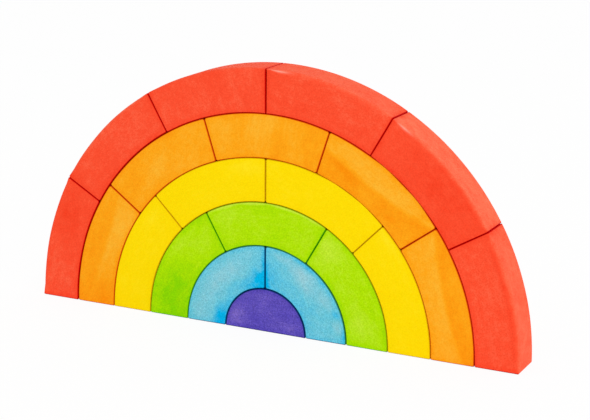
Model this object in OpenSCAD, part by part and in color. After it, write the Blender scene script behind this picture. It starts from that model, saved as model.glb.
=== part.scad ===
// Rainbow stacker: five rings of loose arch blocks standing round a half-round core block.
// The blocks stand on Z = 0, X runs along the width and the front faces -Y.
// The origin is the common centre of all the rings, halfway through the thickness.

/* [Blocks] */
// Radius of the half-round core block
core_r = 25; // [18:0.5:40]
// Width of a ring of arch blocks along the radius, with the gap below it
ring_w = 25; // [16:0.5:40]
// Thickness of every block from front to back
depth = 22; // [12:0.5:40]

/* [Fit] */
// Gap between a ring and the one inside it
ring_gap = 0.75; // [0.3:0.05:0.9]
// Gap between two neighbouring blocks of a ring
seam_gap = 0.6; // [0.3:0.05:0.9]

/* [Edges] */
// Radius of the sanded edges round the front and back faces
edge_r = 0.9; // [0.5:0.1:3]
// Radius of the corners of a block as seen from the front
corner_r = 1.1; // [0.5:0.1:3]

/* [Hidden] */
$fn = 96;
// How far a cut runs past the wood that it takes away
overrun = 1;
// Angle from the right foot of the rainbow to its left foot
half_turn = 180;
// Angle at which a sanded edge runs into the faces beside it
meet_angle = 8;

// Rings from the inside out
ring_names = ["blue", "green", "yellow", "orange", "red"];
// The blue ring has two blocks, and each ring outside it has one more
inner_ring_blocks = 2;

// Stains of the wood
violet_stain = "#6150b8";
blue_stain = "#6cc3da";
green_stain = "#b2e008";
yellow_stain = "#fddb02";
orange_stain = "#fda81f";
red_stain = "#fb5031";

// The blocks of a ring are numbered from the left foot to the right one
function blocks_in(ring) = inner_ring_blocks + ring;
function block_name(ring, place) = str(ring_names[ring], "_block_", place);

// Inner and outer radius of a ring
function inner_r(ring) = core_r + ring * ring_w + ring_gap;
function outer_r(ring) = core_r + (ring + 1) * ring_w;

// Angles of the radii at a block's right end and left end
function right_end_angle(ring, place) = half_turn * (1 - place / blocks_in(ring));
function left_end_angle(ring, place) = half_turn * (1 - (place - 1) / blocks_in(ring));

// How far each end face stands back from its radius, which is nothing for a foot on the ground
function right_end_play(ring, place) = place == blocks_in(ring) ? 0 : seam_gap / 2;
function left_end_play(ring, place) = place == 1 ? 0 : seam_gap / 2;

// How far the centre of a rounding lies inside each face that it meets
function inset(round_r) = round_r * cos(meet_angle);

// Wood that a rounding takes off a corner, drawn from the centre of the rounding.
// The two directions point square to the faces that meet at the corner.
module corner_waste(round_r, to_first, to_second) {
    reach = round_r + overrun;
    difference() {
        polygon([[0, 0], reach * to_first, reach * (to_first + to_second), reach * to_second]);
        circle(round_r);
    }
}

// Rounding of the front and back edges of a rim. A rim faces 1 outwards or -1 inwards.
module rim_edge_cuts(rim_r, rim_faces) {
    for (face = [-1, 1])
        translate([rim_r - rim_faces * inset(edge_r), face * (depth / 2 - inset(edge_r))])
            corner_waste(edge_r, [rim_faces, 0], [0, face]);
}

// Section of a ring through its axis, with the radius along X and the thickness along Y.
// The core starts at the axis, so it has no inner rim.
module ring_section(r_in, r_out) {
    difference() {
        translate([r_in, -depth / 2])
            square([r_out - r_in, depth]);
        rim_edge_cuts(r_out, 1);
        if (r_in > 0)
            rim_edge_cuts(r_in, -1);
    }
}

// Stretch of a ring between two angles, lying flat with the thickness along Z
module ring_stretch(r_in, r_out, from, to) {
    rotate([0, 0, from])
        rotate_extrude(angle = to - from)
            ring_section(r_in, r_out);
}

// The cuts at an end are drawn for an end face along +X, with the wood on its +Y side.
// These two turn them to the right end or the left end of a block.
module at_right_end(angle) {
    rotate([0, 0, angle])
        children();
}

module at_left_end(angle) {
    rotate([0, 0, angle])
        mirror([0, 1, 0])
            children();
}

// Saw cut that sets an end face back from its radius
module seam_cut(r_in, r_out, play) {
    if (play > 0)
        translate([r_in - overrun, -overrun, -depth / 2 - overrun])
            cube([r_out - r_in + 2 * overrun, overrun + play, depth + 2 * overrun]);
}

// Rounding of the corner between an end face and one rim
module corner_cut(rim_r, rim_faces, play) {
    centre_r = rim_r - rim_faces * inset(corner_r);
    tilt = asin((play + inset(corner_r)) / centre_r);
    rotate([0, 0, tilt])
        translate([centre_r, 0, -depth / 2 - overrun])
            linear_extrude(depth + 2 * overrun)
                corner_waste(corner_r, [-sin(tilt), -cos(tilt)], [rim_faces, 0]);
}

// Rounding of both corners of an end face
module corner_cuts(r_in, r_out, play) {
    corner_cut(r_in, -1, play);
    corner_cut(r_out, 1, play);
}

// Rounding of the front and back edges of an end face, from one place on X to another
module edge_cuts(x_from, x_to, play) {
    for (face = [-1, 1])
        translate([x_from - overrun, play + inset(edge_r), face * (depth / 2 - inset(edge_r))])
            rotate([90, 0, 90])
                linear_extrude(x_to - x_from + 2 * overrun)
                    corner_waste(edge_r, [-1, 0], [0, face]);
}

// Arch block sawn to length, with sharp ends
module sawn_block(ring, place) {
    r_in = inner_r(ring);
    r_out = outer_r(ring);
    difference() {
        ring_stretch(r_in, r_out, right_end_angle(ring, place), left_end_angle(ring, place));
        at_right_end(right_end_angle(ring, place))
            seam_cut(r_in, r_out, right_end_play(ring, place));
        at_left_end(left_end_angle(ring, place))
            seam_cut(r_in, r_out, left_end_play(ring, place));
    }
}

// Sawn block with the corners of both ends rounded
module cornered_block(ring, place) {
    difference() {
        sawn_block(ring, place);
        at_right_end(right_end_angle(ring, place))
            corner_cuts(inner_r(ring), outer_r(ring), right_end_play(ring, place));
        at_left_end(left_end_angle(ring, place))
            corner_cuts(inner_r(ring), outer_r(ring), left_end_play(ring, place));
    }
}

// Block with every edge rounded
module sanded_block(ring, place) {
    difference() {
        cornered_block(ring, place);
        at_right_end(right_end_angle(ring, place))
            edge_cuts(inner_r(ring), outer_r(ring), right_end_play(ring, place));
        at_left_end(left_end_angle(ring, place))
            edge_cuts(inner_r(ring), outer_r(ring), left_end_play(ring, place));
    }
}

// Solid half-round block with its corners rounded
module cornered_core() {
    difference() {
        ring_stretch(0, core_r, 0, half_turn);
        at_right_end(0)
            corner_cut(core_r, 1, 0);
        at_left_end(half_turn)
            corner_cut(core_r, 1, 0);
    }
}

// Turns a block that lies flat to stand on its feet
module stand_up() {
    rotate([90, 0, 0])
        children();
}

module arch_block(ring, place) {
    stand_up()
        sanded_block(ring, place);
}

module core_block() {
    stand_up()
        difference() {
            cornered_core();
            edge_cuts(-core_r, core_r, 0);
        }
}

module violet_block() { color(violet_stain) core_block(); }
module blue_block(place) { color(blue_stain) arch_block(0, place); }
module green_block(place) { color(green_stain) arch_block(1, place); }
module yellow_block(place) { color(yellow_stain) arch_block(2, place); }
module orange_block(place) { color(orange_stain) arch_block(3, place); }
module red_block(place) { color(red_stain) arch_block(4, place); }

violet_block();
for (place = [1 : blocks_in(0)]) blue_block(place);
for (place = [1 : blocks_in(1)]) green_block(place);
for (place = [1 : blocks_in(2)]) yellow_block(place);
for (place = [1 : blocks_in(3)]) orange_block(place);
for (place = [1 : blocks_in(4)]) red_block(place);
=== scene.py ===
"""Looks of a rainbow stacker: rings of stained wooden arch blocks round a half-round core block.

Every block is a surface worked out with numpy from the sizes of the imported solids, in metres. The blocks
stand on Z = 0, X runs along the width and the front faces -Y. Outlines in the X-Z plane are complex numbers
x + iz.
"""

from typing import NamedTuple

import bpy
import numpy as np
from mathutils import Matrix, Vector


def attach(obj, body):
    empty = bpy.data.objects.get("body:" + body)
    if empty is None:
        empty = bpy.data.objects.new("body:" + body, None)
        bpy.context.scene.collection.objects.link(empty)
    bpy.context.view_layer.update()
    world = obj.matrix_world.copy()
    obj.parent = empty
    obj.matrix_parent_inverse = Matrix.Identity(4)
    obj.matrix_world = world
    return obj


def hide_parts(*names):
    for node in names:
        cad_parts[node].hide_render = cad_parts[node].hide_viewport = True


bl_info = {
    "name": "Rainbow stacker",
    "version": (1, 0, 0),
    "blender": (4, 5, 0),
    "location": "3D View > Sidebar > Rainbow",
    "description": "Makes the stained wooden blocks of a rainbow stacker and a plain stage for them",
    "category": "Object",
}

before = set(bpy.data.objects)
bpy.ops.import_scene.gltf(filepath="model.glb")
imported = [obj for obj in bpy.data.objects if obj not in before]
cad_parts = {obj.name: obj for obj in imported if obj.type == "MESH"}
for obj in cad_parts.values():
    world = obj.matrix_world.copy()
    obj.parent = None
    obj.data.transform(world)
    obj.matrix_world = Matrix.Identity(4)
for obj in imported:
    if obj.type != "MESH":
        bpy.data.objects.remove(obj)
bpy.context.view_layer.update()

MM = 0.001
HALF_TURN = np.pi
QUARTER_TURN = np.pi / 2

# Grid of a block's surface: steps along a rim, an end face, a corner and a rounded edge
ARC_STEPS = 64
END_STEPS = 18
CORNER_STEPS = 6
EDGE_STEPS = 6
# Steps along the long and the short sides of an outline, each with half of the corner at either end
LONG_STEPS = ARC_STEPS + CORNER_STEPS
SHORT_STEPS = END_STEPS + CORNER_STEPS
# How even the steps along a rim or an end face are: at 1 all are alike, at 0 they crowd at both ends
EVENNESS = 0.35
# Places across a side, from -1 at the front to 1 at the back
SIDE_PLACES = np.array([-0.94, -0.82, -0.62, -0.32, 0.0, 0.32, 0.62, 0.82, 0.94])[:, None]

# Waves round a block's outline in which its sanded edges grow wider and narrower
EDGE_WAVES = np.array([2, 3, 5, 8])
# Largest radius of a sanded edge: this share of a corner's radius, and this share of the way from it more
CORNER_ROOM = 0.9
ROOM_GAIN = 0.3
# How round the core block's corners are, as a share of the other feet's
CORE_ROUNDNESS = 0.5
# Middle of the core block's grain, as a share of its radius above the ground
CORE_MIDDLE = 0.4

# What a side of a block faces: nothing, another block or the ground. A seam gets a line of painted shade,
# and the ground a painted contact shadow
FREE, SEAM, GROUND = 0.0, 1.0, 2.0
# How much the corners of a seam add to that, for the painted shade in them: inside the rainbow and on its
# rim
CORNER_PAINTED_SHADE = 0.7
RIM_CORNER_PAINTED_SHADE = 0.4
# How far an edge counts as being away where the rim is free, so that gathered stain and the painted seam
# shade keep to the seams
BARE_RIM = 3 * MM

# How far apart the boards of two blocks lie in the grain pattern, in millimetres
BOARD_STEP = 410.0
# How far from the middle of a block the bow of its growth rings is measured, in millimetres
BOW_REACH = 30.0
# How much more stain the ends of the fibres took up
FIBRE_END_UPTAKE = 0.1
# Power that keeps the painted highlights and wear to the middle of a rounded edge
WEAR_AND_HIGHLIGHT_POWER = 8
# How far apart the seeds of two rings' first blocks lie
SEED_STEP = 10


class Board(NamedTuple):
    """The board that a block was sawn from, and how the block was laid by hand."""

    turn: float = 0.0     # degrees from the block's chord to its grain
    side: float = 1.0     # 1 or -1: which way the growth rings close
    ring_at: float = 9.0  # millimetres from the middle of the block out to a growth ring
    bow: float = 0.0      # millimetres that the growth rings bend outwards at BOW_REACH
    figure: float = 0.0   # strength of the growth rings
    tone: float = 0.0     # more or less stain on the whole block
    gap: float = 0.3      # millimetres to the next block on its right
    under: float = 0.1    # millimetres to the ring inside it
    corner: float = 1.0   # how round the corners at the seam on its right are, where 1 is usual
    rim: float = -0.26    # more or less stain on the sides, also a painted sheen: below 0 they are lighter


class Patch(NamedTuple):
    """A soft oval place where the stain is thinner or deeper, an edge has a painted highlight and wear, or a
    seam is faint.
    """

    angle: float   # degrees round the rainbow from its right foot
    radius: float  # millimetres from the common centre
    along: float   # millimetres along the ring
    across: float  # millimetres across the ring
    amount: float  # more than 0 is deeper, a paler edge, or fainter


BOARDS = {
    "violet": [Board()],
    "blue": [Board(gap=0.3, under=0.3), Board(under=0.38)],
    "green": [Board(gap=0.12), Board(gap=0.12), Board(under=0.32)],
    "yellow": [Board(gap=0.1, under=0.2), Board(gap=0.28, under=0.14), Board(gap=0.1), Board()],
    "orange": [
        Board(figure=0.5, ring_at=0, bow=0.5, side=-1, gap=0.2),
        Board(figure=0.2, ring_at=4, side=-1, turn=20, gap=0.2),
        Board(figure=0.2, ring_at=-6, turn=80, gap=0.2),
        Board(figure=0.9, ring_at=-2.3, bow=1.2, turn=5, gap=0.2),
        Board(figure=0.8, ring_at=0.6, bow=2.0, side=-1, turn=-3.5),
    ],
    "red": [
        Board(gap=0.12, under=0.5, corner=0.9),
        Board(gap=0.22, under=0.4, corner=0.7),
        Board(turn=88, gap=0.42, under=0.18, corner=0.35, rim=-0.2),
        Board(gap=0.14, under=0.15, corner=0.6, rim=-0.2),
        Board(tone=0.08, gap=0.14, under=0.15, corner=0.6, rim=-0.4),
        Board(under=0.15, rim=-0.22),
    ],
}

# Places on the front where the stain lies thinner or deeper, and painted highlights along edges
PATCHES = {
    "violet": [
        Patch(158, 20, 4, 4, -0.25), Patch(135, 12, 5, 4, 0.12), Patch(100, 8, 8, 2, 0.1),
        Patch(75, 22, 6, 3, -0.1), Patch(45, 19, 6, 3, 0.12), Patch(15, 16, 4, 3, -0.12),
    ],
    "blue": [
        Patch(155, 40, 15, 5, -0.2), Patch(128, 39, 10, 4, -0.16), Patch(170, 43, 5, 4, -0.1),
        Patch(174, 29, 6, 2.6, 0.6), Patch(160, 27, 10, 1.4, 0.25), Patch(108, 28.5, 8, 2.4, 0.3),
        Patch(96, 30, 4, 4.5, 0.65), Patch(91.5, 41, 1.0, 9, 0.3), Patch(112, 46, 12, 2, 0.06),
        Patch(76, 45.6, 4, 1.8, -0.26), Patch(55, 41.5, 5, 3.6, -0.36), Patch(63, 44, 3, 2.5, -0.15),
        Patch(46, 38, 4, 2.5, -0.15), Patch(32, 43.6, 4.5, 2.6, -0.3), Patch(13, 46.4, 3.2, 2.2, -0.26),
        Patch(60, 48.9, 8, 1.0, 0.3), Patch(42, 48.4, 4, 1.2, 0.28), Patch(20.4, 46.4, 2.0, 1.5, 0.5),
        Patch(84, 33, 3, 5, 0.1), Patch(36, 30, 10, 3, 0.1), Patch(4, 49, 4, 1.2, 0.3),
        Patch(66, 33, 9, 4, 0.1), Patch(16, 33, 6, 4, -0.08),
    ],
    "green": [
        Patch(173, 61, 11, 9, 0.42), Patch(158, 60, 11, 6, 0.24), Patch(131, 62, 10, 5, -0.1),
        Patch(106, 70.3, 8, 3, -0.08), Patch(84, 64.7, 22, 6, -0.05), Patch(55, 62, 5, 8, -0.24),
        Patch(50, 66, 5, 5, -0.1), Patch(30, 59, 22, 4, -0.1), Patch(10, 59, 6, 6, -0.16),
        # Painted highlight: a pale line along the outer front edge of the middle green block
        Patch(111, 74.1, 10, 0.5, -0.7), Patch(96, 74.1, 10, 0.5, -0.8), Patch(80, 74.1, 10, 0.5, -0.8),
        Patch(67, 74.1, 7, 0.5, -0.6),
    ],
    "yellow": [
        Patch(97, 94, 9, 3.5, -0.25), Patch(142, 92.8, 4, 2, -0.2), Patch(40, 97, 8, 1.8, -0.25),
    ],
    "orange": [
        Patch(177, 107, 6, 5, 0.35), Patch(39, 121, 4, 4, 0.2), Patch(154, 107, 14, 5, -0.18),
        Patch(128, 112.5, 8, 5, -0.15), Patch(103, 118, 7, 8, -0.2), Patch(92, 119, 6, 8, -0.22),
        Patch(81, 113, 6, 8, -0.12), Patch(98, 112, 3.5, 9, 0.16), Patch(77, 112.5, 6, 9, 0.18),
        Patch(86, 110, 4, 6, 0.16), Patch(64, 110, 6, 5, 0.3), Patch(46, 106, 7, 3, 0.15),
        Patch(55, 105, 5, 3, -0.12),
    ],
    "red": [
        Patch(157, 139.6, 12, 7, 0.25), Patch(128, 142, 12, 8, -0.08), Patch(83, 131, 14, 4, 0.12),
        Patch(42, 139, 14, 8, 0.12), Patch(25, 147.2, 5, 0.9, 0.14), Patch(19, 147.2, 6, 0.9, 0.24),
        Patch(12, 147.2, 6, 0.9, 0.2), Patch(6, 147.2, 5, 0.9, 0.12), Patch(35, 147.2, 4, 0.9, 0.2),
    ],
}

# Places where the line of thick stain and painted shade between two blocks is faint
FAINT_SEAMS = [
    Patch(55, 125, 8, 2.5, 0.8), Patch(44, 125, 8, 2.5, 0.8),
    Patch(66, 100, 7, 2.5, 0.75), Patch(54, 100, 8, 2.5, 0.75),
]

# Places on the sanded front edges that are pale: painted highlights where the rounding catches the light,
# and wear
WORN_AND_HIGHLIT_EDGES = {"red": [Patch(87.2, 149.2, 3.8, 1.0, 0.45), Patch(57, 149.2, 3, 1.0, 0.35)]}


class Stain(NamedTuple):
    """Defaults of one stain: its colour from thin to dried thick, and how unevenly the wood took it up."""

    thin: str
    full: str
    deep: str
    # thick is also the colour of the painted shade along the seams
    thick: str
    clouds: float
    fibres: float
    pooling: float
    specks: float
    # rubbed: share of the next ring's colour in the line on the outer rim, for stain rubbed off from that
    # ring and for that ring's painted shade and reflected colour
    rubbed: float


# Stains of the core block and of the rings round it, from the inside out
STAINS = {
    "violet": Stain("#8670ca", "#6151bb", "#4638ac", "#0c1a6c", 0.4, 0.15, 0.15, 1.2, 0.25),
    "blue": Stain("#98cfdc", "#6cc8de", "#00b4ea", "#005a8c", 0.35, 0.12, 0.12, 0.95, 0.5),
    "green": Stain("#c6ea3a", "#b0e300", "#8ad600", "#4ca400", 0.4, 0.15, 0.15, 0.5, 0.32),
    "yellow": Stain("#ffe41e", "#fddd00", "#f8d200", "#dcae00", 0.3, 0.15, 0.1, 0.18, 0.0),
    "orange": Stain("#fbb834", "#fca514", "#f98c02", "#d84800", 0.5, 0.2, 0.12, 0.3, 0.3),
    "red": Stain("#ff7856", "#fb5030", "#f23616", "#cc0000", 0.35, 0.12, 0.15, 0.35, 0.0),
}
COLOURS = list(STAINS)

# Pale colour of the painted highlights on the edges, also of wood whose stain has gone through wear
PALE_WEAR_AND_HIGHLIGHT = "#ffe0cc"
# Share of the thick stain's brightness that is left in the painted shade at the corners of the seams and in
# the painted contact shadow on the ground
PAINTED_SHADE_SHARE = 0.2


class Pattern(NamedTuple):
    """Noise in the wood, by how often it repeats in a millimetre along and across the grain."""

    along: float
    across: float
    detail: float
    roughness: float = 0.5  # how much the fine detail counts


# Slow bends of the growth rings, ragged borders, fibres, flecks, fine speckle, soft clouds and mottle
SWAY = Pattern(0.012, 0.02, 1.0)
RAGGED = Pattern(0.25, 0.3, 3.0, 0.6)
FIBRES = Pattern(0.03, 0.8, 3.0)
FLECKS = Pattern(0.4, 1.2, 2.0)
SPECKLE = Pattern(1.3, 1.3, 2.0, 0.7)
CLOUDS = Pattern(0.045, 0.06, 3.0, 0.55)
MOTTLE = Pattern(0.16, 0.22, 2.0)

# Growth rings in a millimetre across and through the board, and how far noise moves them, in rings
RINGS_ACROSS = 0.028
RINGS_THROUGH = 0.008
RING_SWAY = 0.1
RING_RAGGED = 0.05
# Share of a year's wood at which its colour starts to fall back
YEAR_END = 0.88

# Uptake of stain at which the wood has the full colour, between 0, thin, and 1, deep
FULL_UPTAKE = 0.45
# How much the growth rings, flecks and speckle add to the uptake
RING_UPTAKE = 0.55
FLECK_UPTAKE = 0.1
SPECKLE_UPTAKE = 0.45
# How much the mottle breaks up what was laid on, and how much of it there is in the clouds
LAID_MOTTLE = 1.6
CLOUD_MOTTLE = 0.4
# How far from an edge stain gathers, in millimetres, and how much the clouds vary that
GATHER_REACH = 3.2
GATHER_CLOUDS = 1.5
# Where the line of thick stain and painted shade along a seam starts to fade and where it ends, in
# millimetres from the edge
LINE_FADES = 0.3
LINE_ENDS = 1.6
# Values from FREE to GROUND at which that line is full, and at which the painted shade of the corners and
# the painted contact shadow start and are darkest
LINE_FULL = 0.5
PAINTED_SHADE_STARTS = 1.0
PAINTED_SHADE_FULL = 1.8

# Relief of the wood: its strength and depth, and how much the fibres, flecks and speckle stand out in it
RELIEF_STRENGTH = 0.2
RELIEF_DEPTH = 0.15 * MM
FIBRE_RELIEF, FLECK_RELIEF, SPECKLE_RELIEF = 0.6, 0.7, 0.4
# Roughness of the stained wood, and how much the flecks and fibres vary it
ROUGHNESS = 0.6
FLECK_ROUGHNESS, FIBRE_ROUGHNESS = 0.2, 0.1
# Gloss of the stained wood, where 0.5 is plain varnish
GLOSS = 0.03

# Way from the rainbow to the soft lamp, the point it aims at, its distance from there and its width
LAMP_WAY = (0.7, -0.55, 0.55)
LAMP_AIM = (0, 0, 0.07)
LAMP_DISTANCE = 2.4
LAMP_WIDTH = 1.8
# Half the width of the floor and the number of points along it
FLOOR_REACH = 3
FLOOR_POINTS = 7
# Share of plain white in the floor where it is seen
FLOOR_GLOW = 0.93
# Width of the camera's sensor in millimetres
SENSOR_WIDTH = 36


def linear(code):
    """Scene-linear colour of an sRGB hex code.

    A part c becomes c / 12.92 up to 0.04045, and ((c + 0.055) / 1.055) ** 2.4 above that.
    """
    c = np.array([int(code[at:at + 2], 16) for at in (1, 3, 5)]) / 255
    return tuple(np.where(c <= 0.04045, c / 12.92, ((c + 0.055) / 1.055) ** 2.4).tolist())


def next_ring_out(colour):
    """Colour of the ring round this one. The outermost ring has none round it and gives its own."""
    return COLOURS[min(COLOURS.index(colour) + 1, len(COLOURS) - 1)]


def stain_settings(colour):
    """PropertyGroup class with the stain of one colour, whose defaults come from STAINS."""
    stain = STAINS[colour]

    def shade(name, description, code):
        return bpy.props.FloatVectorProperty(
            name=name, description=description, default=linear(code), subtype="COLOR", size=3, min=0, max=1)

    def amount(name, description, value):
        return bpy.props.FloatProperty(
            name=name, description=description, default=value, subtype="FACTOR", min=0, soft_max=2)

    fields = {
        "thin": shade("Thin", "Colour where the wood took up little stain", stain.thin),
        "full": shade("Full", "Colour of most of the block", stain.full),
        "deep": shade("Deep", "Colour where the stain gathered", stain.deep),
        # The thick colour also paints the shade in the seams
        "thick": shade("Thick", "Colour where the stain dried thick, along the seams", stain.thick),
        "clouds": amount("Clouds", "How strongly the stain varies in soft clouds", stain.clouds),
        "fibres": amount("Fibres", "How strongly the fibres of the wood show", stain.fibres),
        "pooling": amount("Pooling", "How much stain gathered along the edges", stain.pooling),
        "specks": amount("Specks", "How strongly fine specks show lighter and darker", stain.specks),
        # The rubbed share also paints the next ring's shade and reflected colour on the outer rim
        "rubbed": amount("Rubbed", "How much of the next ring's stain rubbed off on the rim", stain.rubbed),
    }
    return type(f"{colour.title()}StainSettings", (bpy.types.PropertyGroup,), {"__annotations__": fields})


STAIN_CLASSES = {colour: stain_settings(colour) for colour in COLOURS}


class BlockSettings(bpy.types.PropertyGroup):
    """Sanding of the blocks."""

    edge_radius: bpy.props.FloatProperty(
        name="Edge radius", description="Radius of the sanded edges round the front and back faces",
        default=0.6 * MM, unit="LENGTH", min=0.2 * MM, max=3 * MM)
    rim_radius: bpy.props.FloatProperty(
        name="Rim radius", description="Radius of the front edge of the outermost rim",
        default=2.5 * MM, unit="LENGTH", min=0.2 * MM, max=4 * MM)
    unevenness: bpy.props.FloatProperty(
        name="Unevenness", description="How much the sanded edges grow wider and narrower",
        default=0.2, subtype="FACTOR", min=0, max=0.3)
    corner_radius: bpy.props.FloatProperty(
        name="Corner radius", description="Radius of a block's corners at its seams, as seen from the front",
        default=1.15 * MM, unit="LENGTH", min=0.3 * MM, max=4 * MM)
    foot_radius: bpy.props.FloatProperty(
        name="Foot radius", description="Radius of the corners on the ground, as seen from the front",
        default=0.75 * MM, unit="LENGTH", min=0.3 * MM, max=4 * MM)
    clearance: bpy.props.FloatProperty(
        name="Clearance", description="Least gap between two blocks, halfway through their thickness",
        default=0.02 * MM, unit="LENGTH", min=0.01 * MM, max=0.3 * MM)


class StageSettings(bpy.types.PropertyGroup):
    """Camera, light and floor."""

    azimuth: bpy.props.FloatProperty(
        name="Azimuth", description="Angle of the camera round the rainbow, from the front to the right",
        default=np.radians(26.201), subtype="ANGLE", unit="ROTATION")
    elevation: bpy.props.FloatProperty(
        name="Elevation", description="Angle of the camera above the floor",
        default=np.radians(14.764), subtype="ANGLE", unit="ROTATION")
    roll: bpy.props.FloatProperty(
        name="Roll", description="Tilt of the camera about its line of sight",
        default=np.radians(0.482), subtype="ANGLE", unit="ROTATION")
    distance: bpy.props.FloatProperty(
        name="Distance", description="From the camera to the point it aims at",
        default=0.9216, unit="LENGTH")
    aim: bpy.props.FloatVectorProperty(
        name="Aim", description="Point in the middle of the picture",
        default=(0.0070, 0.0120, 0.0665), subtype="TRANSLATION", unit="LENGTH", size=3)
    lens: bpy.props.FloatProperty(
        name="Lens", description="Focal length on a sensor 36 mm wide", default=99.68, unit="CAMERA")
    sky: bpy.props.FloatProperty(
        name="Sky", description="Strength of the white light from all around", default=0.84, min=0)
    lamp_power: bpy.props.FloatProperty(
        name="Lamp", description="Power of the soft lamp beside the camera",
        default=15.5, subtype="POWER", unit="POWER")
    floor_colour: bpy.props.FloatVectorProperty(
        name="Floor", description="Colour of the floor",
        default=(0.97, 0.97, 0.97), subtype="COLOR", size=3, min=0, max=1)


class RainbowSettings(bpy.types.PropertyGroup):
    """Everything about the rainbow stacker that a user would change."""

    blocks: bpy.props.PointerProperty(type=BlockSettings)
    violet: bpy.props.PointerProperty(type=STAIN_CLASSES["violet"])
    blue: bpy.props.PointerProperty(type=STAIN_CLASSES["blue"])
    green: bpy.props.PointerProperty(type=STAIN_CLASSES["green"])
    yellow: bpy.props.PointerProperty(type=STAIN_CLASSES["yellow"])
    orange: bpy.props.PointerProperty(type=STAIN_CLASSES["orange"])
    red: bpy.props.PointerProperty(type=STAIN_CLASSES["red"])
    stage: bpy.props.PointerProperty(type=StageSettings)


class Shade:
    """A value in a material. Sums, differences and products of these add the Math nodes for them."""

    def __init__(self, tree, socket=None):
        self.tree = tree
        self.socket = socket

    def node(self, kind, settings=None, inputs=None, output=0):
        """Adds a node, sets it up, then fills its sockets with values or links. Gives one of its outputs."""
        made = self.tree.nodes.new(kind)
        for name, value in (settings or {}).items():
            if name == "stops":
                fill_ramp(made.color_ramp, value)
            else:
                setattr(made, name, value)
        for name, value in (inputs or {}).items():
            if isinstance(value, Shade):
                self.tree.links.new(value.socket, made.inputs[name])
            else:
                made.inputs[name].default_value = value
        return Shade(self.tree, made.outputs[output] if made.outputs else None)

    def math(self, operation, *values):
        """Result of one Math node."""
        return self.node("ShaderNodeMath", {"operation": operation}, dict(enumerate(values)))

    def __add__(self, other):
        return self.math("ADD", self, other)

    def __radd__(self, other):
        return self.math("ADD", other, self)

    def __sub__(self, other):
        return self.math("SUBTRACT", self, other)

    def __rsub__(self, other):
        return self.math("SUBTRACT", other, self)

    def __mul__(self, other):
        return self.math("MULTIPLY", self, other)

    def __rmul__(self, other):
        return self.math("MULTIPLY", other, self)

    def fraction(self):
        """What is left of the value without its whole part."""
        return self.math("FRACT", self)

    def larger(self, other):
        """The larger one of two values."""
        return self.math("MAXIMUM", self, other)

    def part(self, axis):
        """The vector's part along one axis, 0 to 2."""
        return self.node("ShaderNodeSeparateXYZ", None, {0: self}, axis)

    def scaled(self, amount):
        """The colour with all of its parts multiplied by one value."""
        return self.node("ShaderNodeVectorMath", {"operation": "SCALE"}, {0: self, "Scale": amount})

    def mix(self, first, second):
        """Blend of two colours by this share. A Mix node's sockets for colours are 6 and 7, its output 2."""
        return self.node("ShaderNodeMix", {"data_type": "RGBA"}, {0: self, 6: first, 7: second}, 2)

    def noise(self, pattern):
        """Noise about zero at this place in the board, mostly within 0.3 of it."""
        size = (pattern.along, pattern.across, pattern.across)
        place = self.node("ShaderNodeVectorMath", {"operation": "MULTIPLY"}, {0: self, 1: size})
        settings = {"Vector": place, "Scale": 1.0, "Detail": pattern.detail, "Roughness": pattern.roughness}
        return self.node("ShaderNodeTexNoise", None, settings) - 0.5

    def step(self, low, high):
        """Smooth step from 0 at low to 1 at high."""
        settings = {"Value": self, "From Min": low, "From Max": high}
        return self.node("ShaderNodeMapRange", {"interpolation_type": "SMOOTHSTEP"}, settings)


def fill_ramp(ramp, stops):
    """Gives a colour ramp its stops, each a place from 0 to 1 and a colour."""
    while len(ramp.elements) < len(stops):
        ramp.elements.new(1.0)
    for element, (place, colour) in zip(ramp.elements, stops):
        element.position = place
        element.color = opaque(colour)


def opaque(colour):
    """The colour with an alpha of 1."""
    return (*colour, 1.0)


def bare_nodes(owner):
    """Takes all nodes out of a material or a world, and gives the Shade that new ones start from."""
    owner.use_nodes = True
    owner.node_tree.nodes.clear()
    return Shade(owner.node_tree)


class Facts(NamedTuple):
    """What a block's mesh says about a place on it."""

    grain: Shade      # place along, across and through the board, in millimetres
    edge: Shade       # millimetres from the nearest edge in a seam
    seam: Shade       # what a side faces there, FREE, SEAM or GROUND, and 0 on the front and back; it sets the painted shade
    outer_rim: Shade  # 1 on the rim that the next ring lies on
    laid: Shade       # how much more or less stain was laid on, with painted sheen on the sides and painted highlights
    figure: Shade     # strength of the growth rings
    wear_and_highlight: Shade       # share of the pale edge colour: painted highlight and wear


def block_facts(wood):
    """Facts from the attributes that make_block stores in a mesh."""
    grain, edges, stain = (
        wood.node("ShaderNodeAttribute", {"attribute_name": name}, None, "Vector")
        for name in ("grain", "edge_facts", "stain_facts"))
    return Facts(grain, *(edges.part(axis) for axis in range(3)), *(stain.part(axis) for axis in range(3)))


class Noises(NamedTuple):
    """Noises in the wood, each about zero."""

    ragged: Shade
    fibres: Shade
    flecks: Shade
    speckle: Shade
    clouds: Shade
    mottle: Shade


def wood_noises(grain):
    """Noises at a place in the board."""
    return Noises(*(grain.noise(pattern) for pattern in (RAGGED, FIBRES, FLECKS, SPECKLE, CLOUDS, MOTTLE)))


def growth_rings(grain, ragged):
    """Growth rings as a sawtooth from -0.5 to about 0.4: it climbs through a year's wood and then drops.

    The rings lie across and a little through the board, and slow and ragged noise moves them.
    """
    years = grain.part(1) * RINGS_ACROSS + grain.part(2) * RINGS_THROUGH
    year = (years + grain.noise(SWAY) * RING_SWAY + ragged * RING_RAGGED).fraction()
    return year * (1.0 - year.step(YEAR_END, 1.0)) - 0.5


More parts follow.
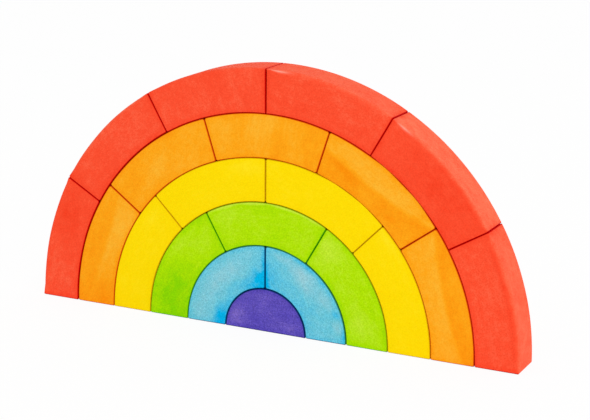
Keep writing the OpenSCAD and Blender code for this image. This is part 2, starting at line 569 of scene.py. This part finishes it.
def stain_uptake(stain, facts, noises):
    """How much stain the wood took up, from 0, thin, to 1, deep.

    It starts at the full colour's uptake. What was laid on, broken up by the mottle, the growth rings by the
    strength of the board's figure, the flecks, speckle, fibres and clouds all add to it. So does what
    gathered along the edges, which fades out over GATHER_REACH.
    """
    laid = facts.laid * (1.0 + noises.mottle * LAID_MOTTLE)
    rings = growth_rings(facts.grain, noises.ragged) * facts.figure
    cloudy = noises.clouds + noises.mottle * CLOUD_MOTTLE + noises.ragged
    gathered = (1.0 - facts.edge.step(0.0, GATHER_REACH)) * (1.0 + noises.clouds * GATHER_CLOUDS)
    grainy = rings * RING_UPTAKE + noises.flecks * FLECK_UPTAKE + noises.speckle * SPECKLE_UPTAKE
    uneven = noises.fibres * stain.fibres + cloudy * stain.clouds + gathered * stain.pooling
    return FULL_UPTAKE + laid + grainy + uneven


def stain_and_painted_light(stain, next_ring_line, facts, noises):
    """Colour of the stained wood, with painted highlights and painted shade in it.

    A ramp turns the uptake into the thin, full and deep colour. Specks make it lighter and darker, and a
    pale colour on the edges paints highlights and shows wear. Close to the edges in the seams lies a line of
    thick stain that also paints the shade in the seams, on the outer rim with some of the next ring's colour
    in it.
    The seams' corners get darker painted shade, and the ground a painted contact shadow.
    """
    stops = [(0.0, stain.thin), (FULL_UPTAKE, stain.full), (1.0, stain.deep)]
    uptake = stain_uptake(stain, facts, noises)
    stained = uptake.node("ShaderNodeValToRGB", {"stops": stops}, {"Fac": uptake})
    specked = stained.scaled(1.0 - noises.speckle * stain.specks)
    # Pale edges: painted highlights and wear
    wear_and_highlight = facts.wear_and_highlight.mix(specked, opaque(linear(PALE_WEAR_AND_HIGHLIGHT)))
    # Line colour: thick stain and painted seam shade, on the outer rim with some of the next ring's colour
    # as painted shade and reflected colour
    thick = (facts.outer_rim * stain.rubbed).mix(opaque(stain.thick), opaque(next_ring_line))
    # Painted shade at the seams' corners and painted contact shadow on the ground
    dark = opaque(PAINTED_SHADE_SHARE * np.array(stain.thick))
    near_edge = 1.0 - facts.edge.step(LINE_FADES, LINE_ENDS)
    # Line of thick stain and painted shade along the seams
    lined = (facts.seam.step(0.0, LINE_FULL) * near_edge).mix(wear_and_highlight, thick)
    return (facts.seam.step(PAINTED_SHADE_STARTS, PAINTED_SHADE_FULL) * near_edge).mix(lined, dark)


def stained_wood(colour, settings):
    """Matt wood with a translucent stain, in which the fibres, flecks and speckle stand out a little. Its
    colour also holds painted highlights and painted shade.
    """
    material = bpy.data.materials.new(f"{colour}_stained_wood")
    wood = bare_nodes(material)
    facts = block_facts(wood)
    noises = wood_noises(facts.grain)
    stain = getattr(settings, colour)
    next_ring_line = getattr(settings, next_ring_out(colour)).thick
    height = noises.fibres * FIBRE_RELIEF + noises.flecks * FLECK_RELIEF + noises.speckle * SPECKLE_RELIEF
    relief = wood.node("ShaderNodeBump", None, {
        "Strength": RELIEF_STRENGTH, "Distance": RELIEF_DEPTH, "Height": height,
    })
    surface = wood.node("ShaderNodeBsdfPrincipled", None, {
        "Base Color": stain_and_painted_light(stain, next_ring_line, facts, noises),
        "Roughness": ROUGHNESS + noises.flecks * FLECK_ROUGHNESS + noises.fibres * FIBRE_ROUGHNESS,
        "Specular IOR Level": GLOSS,
        "Normal": relief,
    })
    wood.node("ShaderNodeOutputMaterial", None, {"Surface": surface})
    return material


def cad_points(node):
    """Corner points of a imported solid's mesh, as rows of x, y and z."""
    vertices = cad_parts[node].data.vertices
    points = np.empty(len(vertices) * 3, np.float32)
    vertices.foreach_get("co", points)
    return points.reshape(-1, 3).astype(float)


def in_plan(vectors):
    """Points or normals seen from the front, as complex numbers x + iz."""
    return vectors[:, 0] + 1j * vectors[:, 2]


def outer_radius(node):
    """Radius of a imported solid's outer rim."""
    return np.abs(in_plan(cad_points(node))).max()


def half_depth(node):
    """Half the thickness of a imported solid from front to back."""
    return np.abs(cad_points(node)[:, 1]).max()


class Outline(NamedTuple):
    """Outline of a block seen from the front, anticlockwise in four sides: right, outer, left and inner.

    The right and left sides have SHORT_STEPS points each, the outer and inner sides LONG_STEPS.
    """

    points: np.ndarray
    normals: np.ndarray  # outwards
    swell: np.ndarray    # how far and which way the side stands out halfway through the block
    seam: np.ndarray     # FREE, SEAM or GROUND, with more at the corners, for the painted shade there
    room: np.ndarray     # largest edge radius that fits there
    to_line: np.ndarray  # how far it is to a seam that crosses a free rim


def crowded(start, end, steps):
    """Steps from start towards end that lie closer together near both, with the end left out.

    A share s of the way becomes e * s + (1 - e) * (1 - cos(pi * s)) / 2, where e is the evenness.
    """
    share = np.arange(steps) / steps
    return start + (end - start) * (EVENNESS * share + (1 - EVENNESS) * (1 - np.cos(np.pi * share)) / 2)


def evenly(start, end, steps):
    """Even steps from start towards end, with the end left out."""
    return np.linspace(start, end, steps, endpoint=False)


def arch_line(runs):
    """The runs of an arch outline in one line: each face, from the right one on, and the corner after it.

    The line starts halfway round the corner before the right face.
    """
    return np.roll(np.concatenate(runs), CORNER_STEPS // 2)


def along_faces(right, outer, left, inner):
    """A value for each point of an arch outline: steady along each face and blended across each corner."""
    faces = [right, outer, left, inner]
    counts = [END_STEPS, ARC_STEPS, END_STEPS, ARC_STEPS]
    runs = []
    for here, there, count in zip(faces, faces[1:] + faces[:1], counts):
        runs += [np.full(count, here), evenly(here, there, CORNER_STEPS)]
    return arch_line(runs)


def round_corners(outer, inner):
    """A value for each point of an arch outline: 0 along the faces, half a sine wave round a corner."""
    wave = np.sin(np.pi * np.arange(CORNER_STEPS) / CORNER_STEPS)
    end, rim = np.zeros(END_STEPS), np.zeros(ARC_STEPS)
    return arch_line([end, outer * wave, rim, outer * wave, end, inner * wave, rim, inner * wave])


def distance_to(line, points):
    """Distance from each of the points to the nearest point of a line."""
    return np.abs(points[:, None] - line).min(1)


def edge_room(points, arcs, radii):
    """Largest edge radius that fits: a share of a corner's radius, plus a share of the way from it."""
    rooms = [
        CORNER_ROOM * radius + ROOM_GAIN * distance_to(arc, points)
        for arc, radius in zip(arcs, radii)]
    return np.min(rooms, 0)


class End(NamedTuple):
    """End of an arch block: a face in a seam or a foot on the ground."""

    angle: float   # of the radius that it lies along
    play: float    # how far it stands back from that radius
    corner: float  # radius of its corners
    swell: float   # how far it stands out halfway through the block
    faces: float   # SEAM or GROUND


def arch_runs(radii, right, left):
    """Points and normals along the faces and corners of an arch block, each face with the corner after it.

    The rims are arcs about the common centre. Each end face is a straight line that lies a little play
    inside its radius. The corners are arcs that touch an end face and a rim, so a corner's centre lies at
    the corner radius plus the play from the end's radius, and at r_out - corner or r_in + corner from the
    common centre.
    """
    r_in, r_out = radii
    at_right, at_left = np.exp(1j * right.angle), np.exp(1j * left.angle)

    def centres(end):
        inset = end.play + end.corner
        radius = np.array([r_out - end.corner, r_in + end.corner])
        return np.sqrt(radius ** 2 - inset ** 2) + 1j * inset

    out_right, in_right = centres(right)
    out_left, in_left = centres(left).conj()

    def end_face(start, end, offset, at, normal):
        return (crowded(start, end, END_STEPS) + 1j * offset) * at, np.full(END_STEPS, normal * at)

    def corner(middle, radius, start, end, at):
        normals = np.exp(1j * evenly(start, end, CORNER_STEPS)) * at
        return middle * at + radius * normals, normals

    def rim(radius, start, end, facing):
        outwards = np.exp(1j * crowded(start, end, ARC_STEPS))
        return radius * outwards, facing * outwards

    return [
        end_face(in_right.real, out_right.real, right.play, at_right, -1j),
        corner(out_right, right.corner, -QUARTER_TURN, np.angle(out_right), at_right),
        rim(r_out, right.angle + np.angle(out_right), left.angle + np.angle(out_left), 1),
        corner(out_left, left.corner, np.angle(out_left), QUARTER_TURN, at_left),
        end_face(out_left.real, in_left.real, -left.play, at_left, 1j),
        corner(in_left, left.corner, QUARTER_TURN, HALF_TURN + np.angle(in_left), at_left),
        rim(r_in, left.angle + np.angle(in_left), right.angle + np.angle(in_right), -1),
        corner(in_right, right.corner, HALF_TURN + np.angle(in_right), 3 * QUARTER_TURN, at_right),
    ]


def arch_outline(radii, right, left, inner_swell, outer_faces):
    """Outline of an arch block between the radii of its rims and its right and left end.

    The ends and the inner rim swell square to themselves, and so towards their neighbours, which fades out
    round the corners.
    """
    runs = arch_runs(radii, right, left)
    points = arch_line([run[0] for run in runs])
    normals = arch_line([run[1] for run in runs])
    swell = along_faces(right.swell, 0.0, 0.0, 0.0) * -1j * np.exp(1j * right.angle)
    swell = swell + along_faces(0.0, 0.0, left.swell, 0.0) * 1j * np.exp(1j * left.angle)
    swell = swell - along_faces(0.0, 0.0, 0.0, inner_swell) * points / np.abs(points)

    # The corners of the seams get more painted shade
    corner_shade = RIM_CORNER_PAINTED_SHADE if outer_faces == FREE else CORNER_PAINTED_SHADE
    seam = along_faces(right.faces, outer_faces, left.faces, SEAM) + round_corners(corner_shade, CORNER_PAINTED_SHADE)
    corners = [run[0] for run in runs[1::2]]
    room = edge_room(points, corners, [right.corner, left.corner, left.corner, right.corner])
    to_line = np.full(len(points), np.inf)
    for end, corner in zip((right, left), corners):
        if outer_faces == FREE and end.faces == SEAM:
            to_line = np.minimum(to_line, distance_to(corner, points))
    return Outline(points, normals, swell, seam, room, to_line)


def core_outline(radius, corner):
    """Outline of the half-round core block: a half circle over a straight foot.

    Each corner's centre lies one corner radius above the foot and at r - corner from the common centre. The
    half circle is split at an eighth and three eighths of a turn into the right, outer and left side.
    """
    right = np.sqrt((radius - corner) ** 2 - corner ** 2) + 1j * corner
    left = -right.conjugate()
    flank_steps = SHORT_STEPS - CORNER_STEPS // 2
    turns = [
        evenly(-QUARTER_TURN, np.angle(right), CORNER_STEPS),
        evenly(np.angle(right), QUARTER_TURN / 2, flank_steps),
        evenly(QUARTER_TURN / 2, 1.5 * QUARTER_TURN, LONG_STEPS),
        evenly(1.5 * QUARTER_TURN, np.angle(left), flank_steps),
        evenly(np.angle(left), 3 * QUARTER_TURN, CORNER_STEPS),
    ]
    arc = radius * np.exp(1j * np.concatenate(turns[1:4]))
    corners = [right + corner * np.exp(1j * turns[0]), left + corner * np.exp(1j * turns[4])]
    foot = crowded(left.real, right.real, ARC_STEPS)

    def from_mid_corner(values):
        return np.roll(values, -CORNER_STEPS // 2)

    points = from_mid_corner(np.concatenate([corners[0], arc, corners[1], foot]))
    normals = from_mid_corner(np.append(np.exp(1j * np.concatenate(turns)), np.full(ARC_STEPS, -1j)))
    # Seam on the arc, rising to GROUND where the outline faces down: a painted contact shadow on the foot
    seam = SEAM + np.clip(-normals.imag, 0, 1)
    room = edge_room(points, corners, [corner, corner])
    return Outline(points, normals, np.zeros(len(points)), seam, room, np.full(len(points), np.inf))


def sanded_edges(outline, blocks, seed):
    """Radii of the sanded front and back edge round the outline: mean radii with a few slow waves."""
    draw = np.random.default_rng(seed)
    phases = draw.uniform(0, 2 * np.pi, (len(EDGE_WAVES), 1))
    around = np.linspace(0, 2 * np.pi, len(outline.points), endpoint=False)
    waves = np.cos(EDGE_WAVES[:, None] * around + phases).mean(0)
    uneven = 1 + blocks.unevenness * waves
    front = np.where(outline.seam == FREE, blocks.rim_radius, blocks.edge_radius)
    return np.minimum(front * uneven, outline.room), np.minimum(blocks.edge_radius * uneven, outline.room)


class Strip(NamedTuple):
    """Edges and sides of a block, in rows round its outline from the front face to the back face."""

    plan: np.ndarray
    depth: np.ndarray
    sideways: np.ndarray  # part of the normal in plan
    forward: np.ndarray   # part of the normal along the depth
    edge: np.ndarray      # how far it is to an edge in a seam
    seam: np.ndarray      # what the side faces, fading out over the edges towards the front and back


def off_edge(outline):
    """What is added to the distance from an edge: BARE_RIM where the rim is free."""
    return np.where(outline.seam == FREE, BARE_RIM, 0.0)


def edge_strip(outline, half, edges):
    """Profile carried round an outline: the front edge's quarter circle, the side and the back edge's.

    At a turn of t a quarter circle lies edge * (1 - sin t) inside the outline and edge * (1 - cos t) behind
    the face. At a place p from -1 to 1 the side stands out by swell * (1 - p * p). Nothing goes below Z = 0.
    """
    points, normals, swell = outline.points, outline.normals, outline.swell
    turn = np.linspace(0, QUARTER_TURN, EDGE_STEPS + 1)[:, None]
    front, back = [points - edge * (1 - np.sin(turn)) * normals for edge in edges]
    front_depth, back_depth = [half - edge * (1 - np.cos(turn)) for edge in edges]
    reach = half - (edges[0] + edges[1]) / 2
    side = points + swell * (1 - SIDE_PLACES ** 2)
    side_depth = (edges[0] - edges[1]) / 2 + reach * SIDE_PLACES
    plan = np.concatenate([front, side, back[::-1]])

    tilt = np.broadcast_to(np.sin(turn), front.shape)
    lean = np.broadcast_to(np.cos(turn), front.shape)
    sideways = np.concatenate([tilt, np.ones(side.shape), tilt[::-1]]) * normals
    forward = np.concatenate([-lean, 2 * np.abs(swell) * SIDE_PLACES / reach, lean[::-1]])

    edge_rows = np.broadcast_to(np.minimum(off_edge(outline), outline.to_line), front.shape)
    side_rows = np.minimum(reach * (1 - np.abs(SIDE_PLACES)) + off_edge(outline), outline.to_line)
    return Strip(
        plan.real + 1j * np.maximum(plan.imag, 0),
        np.concatenate([-front_depth, side_depth, back_depth[::-1]]),
        sideways,
        forward,
        np.concatenate([edge_rows, side_rows, edge_rows]),
        np.abs(sideways) * outline.seam,
    )


def four_sides(around):
    """Right, outer, left and inner side of what runs round an outline, each with both of its ends.

    The right and left side run outwards, the outer and inner side from the right to the left.
    """
    closed = np.append(around, around[:1])
    far = SHORT_STEPS + LONG_STEPS
    outer = closed[SHORT_STEPS:far + 1]
    left = closed[far:far + SHORT_STEPS + 1][::-1]
    inner = closed[far + SHORT_STEPS:][::-1]
    return closed[:SHORT_STEPS + 1], outer, left, inner


def length_share(line):
    """Share of a line's length at each of its points."""
    steps = np.abs(np.diff(line))
    return np.append(0, np.cumsum(steps)) / steps.sum()


def face_grid(border):
    """Points over a face inside its border, in rows that run outwards, from the right to the left.

    Each point is the blend of the inner and outer side, plus the blend of the right and left side, less the
    blend of the four corners. The shares of a blend are the shares of the sides' lengths.
    """
    right, outer, left, inner = four_sides(border)
    along = (length_share(outer) + length_share(inner))[:, None] / 2
    across = (length_share(right) + length_share(left)) / 2
    at_right = (1 - across) * right[0] + across * right[-1]
    at_left = (1 - across) * left[0] + across * left[-1]
    rims = (1 - across) * inner[:, None] + across * outer[:, None]
    ends = (1 - along) * (right - at_right) + along * (left - at_left)
    return rims + ends


def face_numbers(border, first):
    """Numbers of a face's points: those of its border and, from the first one given, new ones inside it."""
    numbers = np.empty((LONG_STEPS + 1, SHORT_STEPS + 1), int)
    numbers[0], numbers[:, -1], numbers[-1], numbers[:, 0] = four_sides(border)
    inside = numbers[1:-1, 1:-1]
    inside[:] = first + np.arange(inside.size).reshape(inside.shape)
    return numbers


def quads(numbers):
    """Four-sided faces of a grid of point numbers."""
    corners = [numbers[:-1, :-1], numbers[:-1, 1:], numbers[1:, 1:], numbers[1:, :-1]]
    return np.stack(corners, -1).reshape(-1, 4)


class Surface(NamedTuple):
    """A block's closed surface, with a row for each of its points."""

    points: np.ndarray
    normals: np.ndarray
    edge: np.ndarray  # how far it is to an edge in a seam
    seam: np.ndarray  # what a side faces there, and 0 on the front and back
    faces: list


def block_surface(outline, half, edges):
    """Closed surface of a block: the strip of its edges and sides, and grids over its front and back."""
    strip = edge_strip(outline, half, edges)
    borders = strip.plan[0], strip.plan[-1]
    insides = [face_grid(border)[1:-1, 1:-1].ravel() for border in borders]
    inside_edges = [
        (np.abs(inside[:, None] - border) + off_edge(outline)).min(1)
        for inside, border in zip(insides, borders)]

    count = insides[0].size
    numbers = np.arange(strip.plan.size).reshape(strip.plan.shape)
    front_numbers = face_numbers(numbers[0], strip.plan.size)
    back_numbers = face_numbers(numbers[-1], strip.plan.size + count)
    band = np.concatenate([numbers.T, numbers.T[:1]])
    faces = np.concatenate([quads(band), quads(front_numbers), quads(back_numbers)[:, ::-1]])

    forwards, backwards = np.full(count, -1.0), np.full(count, 1.0)
    plan = np.concatenate([strip.plan.ravel(), *insides])
    depth = np.concatenate([strip.depth.ravel(), half * forwards, half * backwards])
    sideways = np.concatenate([strip.sideways.ravel(), np.zeros(2 * count)])
    forward = np.concatenate([strip.forward.ravel(), forwards, backwards])
    return Surface(
        np.stack([plan.real, depth, plan.imag], -1),
        np.stack([sideways.real, forward, sideways.imag], -1),
        np.concatenate([strip.edge.ravel(), *inside_edges]),
        np.concatenate([strip.seam.ravel(), np.zeros(2 * count)]),
        faces.tolist(),
    )


def grain_of(surface, middle, board, seed):
    """Place of each point along, across and through the board in millimetres, and its share of fibre ends.

    The grain runs along the block's chord, turned by the board's own angle, and is bowed by the square of
    the place along it. The share of fibre ends is the size of the cosine between the normal and the grain.
    """
    outwards = middle / abs(middle) * np.exp(1j * np.radians(board.turn))
    plan = (in_plan(surface.points) - middle) / outwards / MM
    ring_at = board.ring_at + board.bow * (plan.imag / BOW_REACH) ** 2
    along = plan.imag + BOARD_STEP * seed
    across = board.side * (plan.real - ring_at)
    through = surface.points[:, 1] / MM
    ends = np.abs((in_plan(surface.normals) / outwards).imag)
    return (along, across, through), ends


def patched(surface, patches):
    """Sum of soft oval patches at each point of a surface.

    A patch adds amount * exp(-((a / along) ** 2 + (c / across) ** 2) / 2), where a and c are the distances
    from its middle along and across the ring, in millimetres.
    """
    plan = in_plan(surface.points) / MM
    total = np.zeros(len(plan))
    for patch in patches:
        away = plan / np.exp(1j * np.radians(patch.angle)) - patch.radius
        spread = (away.imag / patch.along) ** 2 + (away.real / patch.across) ** 2
        total += patch.amount * np.exp(-spread / 2)
    return total


def stain_laid_and_painted_light(surface, colour, board):
    """Stain that was laid on, with painted light: the block's tone, less on its sides, plus soft oval
    patches on the front.

    The patches fade out evenly towards the back, and some of them are painted highlights. The sides gain the
    board's rim times the square of the normal's part in plan, thinner stain that also paints a sheen on
    them.
    """
    depth = surface.points[:, 1]
    front = np.clip(0.5 - depth / (2 * np.abs(depth).max()), 0, 1)
    laid = board.tone + board.rim * np.abs(in_plan(surface.normals)) ** 2
    return laid + patched(surface, PATCHES[colour]) * front


def wear_and_painted_highlight(surface, colour):
    """Share of the pale edge colour, for painted highlights and wear: patches on the rounding of the front
    edges.

    A patch counts by a power of sin 2t, where t is the angle from the front to the normal, so it lies on the
    middle of the rounding and fades out towards both faces.
    """
    across = np.abs(in_plan(surface.normals))
    forwards = np.clip(-surface.normals[:, 1], 0, 1)
    return patched(surface, WORN_AND_HIGHLIT_EDGES.get(colour, [])) * (2 * across * forwards) ** WEAR_AND_HIGHLIGHT_POWER


def seam_left(surface):
    """What a side faces, less where the seam is faint."""
    return surface.seam * (1 - np.clip(patched(surface, FAINT_SEAMS), 0, 1))


def outer_rim(surface):
    """1 on a block's outer rim and 0 on its ends and inner rim.

    It is twice the cosine between the normal and the way outwards, held between 0 and 1.
    """
    plan = in_plan(surface.points)
    outwards = plan / np.maximum(np.abs(plan), MM)
    cosine = (in_plan(surface.normals) * outwards.conj()).real
    return np.clip(2 * cosine, 0, 1)


def add_attribute(mesh, name, *parts):
    """Stores a vector with these three parts for each point of a mesh."""
    data = mesh.attributes.new(name, "FLOAT_VECTOR", "POINT").data
    data.foreach_set("vector", np.stack(parts, -1).astype(np.float32).ravel())


def make_block(colour, name, node, surface, middle, board, seed, material):
    """Puts a block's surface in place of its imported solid, and lets it move with that solid's body."""
    mesh = bpy.data.meshes.new(name)
    mesh.from_pydata(surface.points.tolist(), [], surface.faces)
    mesh.shade_smooth()
    mesh.normals_split_custom_set_from_vertices(surface.normals.tolist())
    grain, ends = grain_of(surface, middle, board, seed)
    laid = stain_laid_and_painted_light(surface, colour, board) + FIBRE_END_UPTAKE * ends
    figure = np.full(len(laid), board.figure)
    add_attribute(mesh, "grain", *grain)
    add_attribute(mesh, "edge_facts", surface.edge / MM, seam_left(surface), outer_rim(surface))
    add_attribute(mesh, "stain_facts", laid, figure, wear_and_painted_highlight(surface, colour))
    mesh.materials.append(material)
    if mesh.validate():
        raise RuntimeError(f"the surface of {name} has faulty faces")
    block = bpy.data.objects.new(name, mesh)
    bpy.context.scene.collection.objects.link(block)
    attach(block, node)
    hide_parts(node)


def make_core(settings):
    """Makes the half-round core block."""
    material = stained_wood("violet", settings)
    node = "violet_block"
    radius = outer_radius(node)
    outline = core_outline(radius, CORE_ROUNDNESS * settings.blocks.foot_radius)
    surface = block_surface(outline, half_depth(node), sanded_edges(outline, settings.blocks, 0))
    middle = CORE_MIDDLE * radius * 1j
    make_block("violet", "violet_core", node, surface, middle, BOARDS["violet"][0], 0, material)


def ring_ends(boards, blocks):
    """Ends of a ring's blocks from the left foot to the right one. The ring is a half turn split evenly."""
    angles = HALF_TURN * (1 - np.arange(len(boards) + 1) / len(boards))
    # The feet stand on the ground and get a painted contact shadow
    ends = [End(angles[0], 0.0, blocks.foot_radius, 0.0, GROUND)]
    for angle, board in zip(angles[1:-1], boards):
        play = board.gap * MM / 2
        swell = max(play - blocks.clearance / 2, 0.0)
        ends.append(End(angle, play, blocks.corner_radius * board.corner, swell, SEAM))
    ends.append(End(angles[-1], 0.0, blocks.foot_radius, 0.0, GROUND))
    return ends


def make_ring(colour, settings):
    """Makes the arch blocks of one ring, numbered from the left foot."""
    material = stained_wood(colour, settings)
    blocks = settings.blocks
    order = COLOURS.index(colour)
    inside = COLOURS[order - 1]
    r_inside = outer_radius("violet_block" if inside == "violet" else f"{inside}_block_1")
    outer_faces = FREE if colour == next_ring_out(colour) else SEAM
    ends = ring_ends(BOARDS[colour], blocks)
    for number, board in enumerate(BOARDS[colour]):
        node = f"{colour}_block_{number + 1}"
        left, right = ends[number], ends[number + 1]
        under = board.under * MM
        r_in, r_out = r_inside + under, outer_radius(node)
        outline = arch_outline((r_in, r_out), right, left, under - blocks.clearance, outer_faces)
        seed = SEED_STEP * order + number
        surface = block_surface(outline, half_depth(node), sanded_edges(outline, blocks, seed))
        middle = (r_in + r_out) / 2 * np.exp(1j * (right.angle + left.angle) / 2)
        make_block(colour, f"{colour}_arch_{number + 1}", node, surface, middle, board, seed, material)


def seen_rays(shade):
    """1 for rays that show the picture's background: straight from the camera, mirrored or through glass."""
    camera, glossy, transmission = (
        shade.node("ShaderNodeLightPath", None, None, output)
        for output in ("Is Camera Ray", "Is Glossy Ray", "Is Transmission Ray"))
    return camera.larger(glossy).larger(transmission)


def make_world(strength):
    """White light from all around, behind a background that shows as plain white."""
    world = bpy.data.worlds.new("white_surround")
    light = bare_nodes(world)
    white = opaque((1, 1, 1))
    lit = light.node("ShaderNodeBackground", None, {"Color": white, "Strength": strength})
    shown = light.node("ShaderNodeBackground", None, {"Color": white, "Strength": 1.0})
    both = light.node("ShaderNodeMixShader", None, {0: seen_rays(light), 1: lit, 2: shown})
    light.node("ShaderNodeOutputWorld", None, {"Surface": both})
    bpy.context.scene.world = world


def floor_material(colour):
    """Matt white floor. Where it is seen, most of it glows plain white, so only a faint shadow is left."""
    material = bpy.data.materials.new("white_floor")
    floor = bare_nodes(material)
    matt = floor.node("ShaderNodeBsdfDiffuse", None, {"Color": opaque(colour)})
    glow = floor.node("ShaderNodeEmission", None, {"Color": opaque((1, 1, 1)), "Strength": 1.0})
    both = floor.node("ShaderNodeMixShader", None, {0: seen_rays(floor) * FLOOR_GLOW, 1: matt, 2: glow})
    floor.node("ShaderNodeOutputMaterial", None, {"Surface": both})
    return material


def make_floor(colour):
    """Level floor: a grid of flat squares at Z = 0 round the rainbow."""
    steps = np.linspace(-FLOOR_REACH, FLOOR_REACH, FLOOR_POINTS)
    x, y = np.meshgrid(steps, steps)
    numbers = np.arange(x.size).reshape(x.shape)
    mesh = bpy.data.meshes.new("floor")
    mesh.from_pydata(np.stack([x, y, 0 * x], -1).reshape(-1, 3).tolist(), [], quads(numbers).tolist())
    mesh.materials.append(floor_material(colour))
    floor = bpy.data.objects.new("floor", mesh)
    bpy.context.scene.collection.objects.link(floor)


def aimed(back, aim, distance, roll=0.0):
    """Matrix of a camera or lamp at a distance from the point that it aims at, which looks against back."""
    back = Vector(back).normalized()
    right = Vector((0, 0, 1)).cross(back).normalized()
    up = back.cross(right)
    sideways = np.cos(roll) * right + np.sin(roll) * up
    upwards = np.cos(roll) * up - np.sin(roll) * right
    turned = Matrix((sideways, upwards, back)).transposed().to_4x4()
    return Matrix.Translation(Vector(aim) + distance * back) @ turned


def make_lamp(power):
    """Square soft lamp that aims at the middle of the rainbow."""
    light = bpy.data.lights.new("soft_lamp", "AREA")
    light.size = LAMP_WIDTH
    light.energy = power
    lamp = bpy.data.objects.new("soft_lamp", light)
    bpy.context.scene.collection.objects.link(lamp)
    lamp.matrix_world = aimed(LAMP_WAY, LAMP_AIM, LAMP_DISTANCE)


def make_camera(stage):
    """Camera at the angles and distance of the stage settings."""
    lens = bpy.data.cameras.new("camera")
    lens.lens = stage.lens
    lens.sensor_width = SENSOR_WIDTH
    camera = bpy.data.objects.new("camera", lens)
    bpy.context.scene.collection.objects.link(camera)
    level = np.cos(stage.elevation)
    back = (np.sin(stage.azimuth) * level, -np.cos(stage.azimuth) * level, np.sin(stage.elevation))
    camera.matrix_world = aimed(back, stage.aim, stage.distance, stage.roll)
    bpy.context.scene.camera = camera


class RAINBOW_OT_core(bpy.types.Operator):
    """Make the half-round violet core block"""

    bl_idname = "rainbow.core"
    bl_label = "Violet core"

    def execute(self, context):
        make_core(context.scene.rainbow)
        return {"FINISHED"}


class RAINBOW_OT_blue_ring(bpy.types.Operator):
    """Make the blue arch blocks round the core"""

    bl_idname = "rainbow.blue_ring"
    bl_label = "Blue ring"

    def execute(self, context):
        make_ring("blue", context.scene.rainbow)
        return {"FINISHED"}


class RAINBOW_OT_green_ring(bpy.types.Operator):
    """Make the green arch blocks round the blue ring"""

    bl_idname = "rainbow.green_ring"
    bl_label = "Green ring"

    def execute(self, context):
        make_ring("green", context.scene.rainbow)
        return {"FINISHED"}


class RAINBOW_OT_yellow_ring(bpy.types.Operator):
    """Make the yellow arch blocks round the green ring"""

    bl_idname = "rainbow.yellow_ring"
    bl_label = "Yellow ring"

    def execute(self, context):
        make_ring("yellow", context.scene.rainbow)
        return {"FINISHED"}


class RAINBOW_OT_orange_ring(bpy.types.Operator):
    """Make the orange arch blocks round the yellow ring"""

    bl_idname = "rainbow.orange_ring"
    bl_label = "Orange ring"

    def execute(self, context):
        make_ring("orange", context.scene.rainbow)
        return {"FINISHED"}


class RAINBOW_OT_red_ring(bpy.types.Operator):
    """Make the red arch blocks round the orange ring"""

    bl_idname = "rainbow.red_ring"
    bl_label = "Red ring"

    def execute(self, context):
        make_ring("red", context.scene.rainbow)
        return {"FINISHED"}


class RAINBOW_OT_stage(bpy.types.Operator):
    """Make the white floor, the soft light and the camera"""

    bl_idname = "rainbow.stage"
    bl_label = "Stage"

    def execute(self, context):
        stage = context.scene.rainbow.stage
        make_world(stage.sky)
        make_floor(stage.floor_colour)
        make_lamp(stage.lamp_power)
        make_camera(stage)
        context.scene.view_settings.view_transform = "Standard"
        return {"FINISHED"}


OPERATORS = [
    RAINBOW_OT_core, RAINBOW_OT_blue_ring, RAINBOW_OT_green_ring, RAINBOW_OT_yellow_ring,
    RAINBOW_OT_orange_ring, RAINBOW_OT_red_ring, RAINBOW_OT_stage,
]


class RAINBOW_PT_sidebar(bpy.types.Panel):
    """Blocks and stage of the rainbow stacker"""

    bl_idname = "RAINBOW_PT_sidebar"
    bl_label = "Rainbow stacker"
    bl_space_type = "VIEW_3D"
    bl_region_type = "UI"
    bl_category = "Rainbow"

    def draw(self, context):
        settings = context.scene.rainbow
        groups = [settings.blocks, *(getattr(settings, colour) for colour in COLOURS), settings.stage]
        for group in groups:
            box = self.layout.box()
            for name in group.__annotations__:
                box.prop(group, name)
        for operator in OPERATORS:
            self.layout.operator(operator.bl_idname)


CLASSES = [
    *STAIN_CLASSES.values(), BlockSettings, StageSettings, RainbowSettings, *OPERATORS, RAINBOW_PT_sidebar,
]


def register():
    for cls in CLASSES:
        bpy.utils.register_class(cls)
    bpy.types.Scene.rainbow = bpy.props.PointerProperty(type=RainbowSettings)


def unregister():
    del bpy.types.Scene.rainbow
    for cls in reversed(CLASSES):
        bpy.utils.unregister_class(cls)


def main():
    """Makes the rainbow and its stage."""
    register()
    bpy.ops.rainbow.core()
    bpy.ops.rainbow.blue_ring()
    bpy.ops.rainbow.green_ring()
    bpy.ops.rainbow.yellow_ring()
    bpy.ops.rainbow.orange_ring()
    bpy.ops.rainbow.red_ring()
    bpy.ops.rainbow.stage()


if __name__ == "__main__":
    main()
